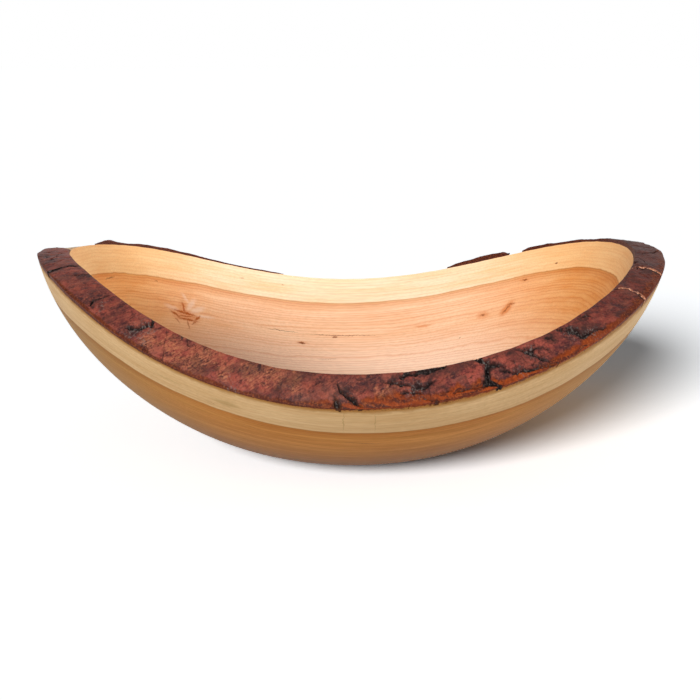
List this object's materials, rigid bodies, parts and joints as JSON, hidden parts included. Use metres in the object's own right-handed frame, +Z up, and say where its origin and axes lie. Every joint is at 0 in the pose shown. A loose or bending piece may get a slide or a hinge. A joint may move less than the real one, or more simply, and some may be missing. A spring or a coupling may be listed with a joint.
{
  "type": "salad bowl",
  "caption": "Oval natural-edge wooden bowl turned from half a log, with pale sapwood, bark on its high-ended rim and a small dished foot.",
  "frame": {"origin": "on the table, below the middle of the bowl's length and width", "axes": "+X along the log, the long way of the bowl, +Z up out of the hollow, -Y towards the side that the picture shows in front"},
  "size_m": [0.357, 0.291, 0.1213],
  "materials": {
    "heartwood": "oiled, satin",
    "sapwood": "oiled, satin",
    "bark": "rough bark, sealed"
  },
  "bodies": {
    "root": {"heartwood_bowl": "heartwood", "sapwood_band": "sapwood", "bark_right_end": "bark", "bark_back_patch": "bark", "bark_back_left": "bark", "bark_left_end": "bark", "bark_front_left": "bark", "bark_front_right": "bark", "bark_right_shoulder": "bark"}
  },
  "joints": []
}
